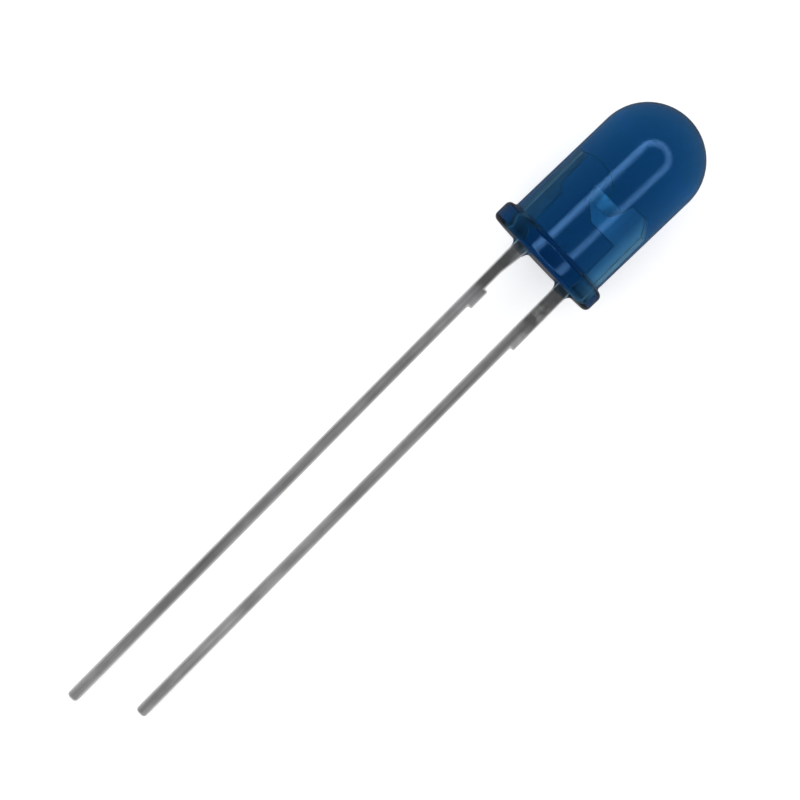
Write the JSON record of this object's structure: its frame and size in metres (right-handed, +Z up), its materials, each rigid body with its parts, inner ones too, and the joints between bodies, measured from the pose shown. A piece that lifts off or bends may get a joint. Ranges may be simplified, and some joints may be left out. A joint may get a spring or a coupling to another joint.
{
  "type": "through hole led",
  "caption": "Round light emitting diode in tinted clear resin, with a domed lens, a flange, and straight leads of unequal length for soldering through a circuit board.",
  "frame": {"origin": "where the lens axis meets the seating plane under the flange", "axes": "+Z up, +Y along the lens towards the dome as seen from above, +X towards the cathode; the LED lies on its side, on the flange's rim and both lead ends, so the lens axis is tilted up from +Y by 5.43 degrees"},
  "size_m": [0.0056, 0.036, 0.0059],
  "materials": {
    "resin": "glossy, clear and tinted blue",
    "tinned_steel": "satin tin plate",
    "plated_steel": "satin, silver plated inside the lens and tinned outside",
    "silver_glue": "dull, silver filled",
    "chip": "polished top, sawn sides",
    "gold": "bright gold"
  },
  "bodies": {
    "root": {"lens": "resin", "anode_lead": "tinned_steel", "cathode_lead": "plated_steel", "chip_glue": "silver_glue", "chip": "chip", "bond_pad": "gold", "bond_wire": "gold"}
  },
  "joints": []
}
